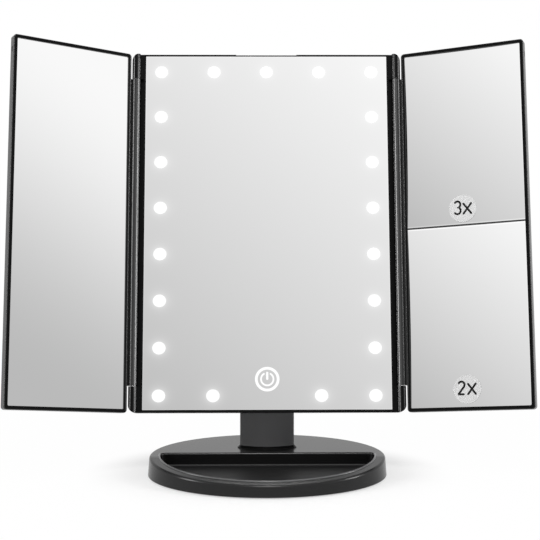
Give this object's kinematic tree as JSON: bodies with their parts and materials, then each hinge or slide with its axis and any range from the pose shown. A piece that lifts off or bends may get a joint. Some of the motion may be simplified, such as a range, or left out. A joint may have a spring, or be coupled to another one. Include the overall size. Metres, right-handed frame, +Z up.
{
  "type": "vanity mirror",
  "caption": "Tabletop trifold vanity mirror: lit centre glass, plain and magnifying folding side mirrors, tilting head, short neck and oval tray foot.",
  "frame": {"origin": "on the table under the middle of the oval foot", "axes": "+Z up, the user stands towards -Y, +X to the user's right"},
  "size_m": [0.3365, 0.1417, 0.2861],
  "materials": {
    "black_gloss": "polished black plastic",
    "black_satin": "fine satin black plastic",
    "mirror": "silvered glass",
    "frosted": "frosted white plastic",
    "board_white": "white solder mask",
    "lamp_chips": "pale yellow lamp chips",
    "board_green": "green circuit board",
    "chip_black": "moulded black",
    "steel": "plated steel",
    "screws": "dark plated steel",
    "washers": "natural nylon",
    "cells": "plain metal jackets",
    "rubber": "black rubber",
    "backing": "grey mounting pad",
    "divider": "dark plastic",
    "label_film": "pale clear film"
  },
  "bodies": {
    "foot": {"foot_shell": "black_gloss", "foot_cover": "black_satin", "foot_pads": "rubber", "foot_weight": "steel", "cover_screws": "screws", "neck": "black_gloss", "neck_collar": "black_gloss", "neck_screws": "screws"},
    "head": {"tilt_bolt": "steel", "tilt_nut": "steel", "tilt_washers": "washers", "head_frame": "black_gloss", "centre_glass": "mirror", "light_spreader": "frosted", "light_board": "board_white", "light_chips": "lamp_chips", "touch_pad": "frosted", "rear_housing": "black_satin", "housing_screws": "screws", "control_board": "board_green", "control_chip": "chip_black", "board_screws": "screws", "charging_socket": "steel", "switch_body": "chip_black", "battery_cells": "cells", "battery_springs": "steel", "contact_plates": "steel", "left_hinge_pins": "steel", "right_hinge_pins": "steel"},
    "left_wing": {"left_wing_frame": "black_gloss", "left_wing_cover": "black_satin", "left_mirror": "mirror", "left_mirror_pad": "backing"},
    "right_wing": {"right_wing_frame": "black_gloss", "right_wing_cover": "black_satin", "upper_right_mirror": "mirror", "lower_right_mirror": "mirror", "mirror_divider": "divider", "right_mirror_pads": "backing", "upper_label": "label_film", "lower_label": "label_film"},
    "power_switch": {"switch_knob": "black_satin"},
    "battery_lid": {"battery_door": "black_satin"}
  },
  "joints": [
    {"name": "head_tilt", "type": "hinge", "parent": "foot", "child": "head", "pos_m": [0, 0.0185, 0.0565], "axis": [-1, 0, 0], "range_deg": [-20.6, 59.4]},
    {"name": "left_wing_fold", "type": "hinge", "parent": "head", "child": "left_wing", "pos_m": [-0.088, 0.03118, 0.15808], "axis": [0, 0.2689, 0.9632], "range_deg": [-30.4, 149.6]},
    {"name": "right_wing_fold", "type": "hinge", "parent": "head", "child": "right_wing", "pos_m": [0.088, 0.03118, 0.15808], "axis": [0, -0.2689, -0.9632], "range_deg": [-23.3, 156.7]},
    {"name": "power_slide", "type": "slide", "parent": "head", "child": "power_switch", "axis": [1, 0, 0], "range_m": [0, 0.003]},
    {"name": "battery_lid_lift", "type": "slide", "parent": "head", "child": "battery_lid", "axis": [0, 0.9632, -0.2689], "range_m": [0, 0.012]}
  ]
}
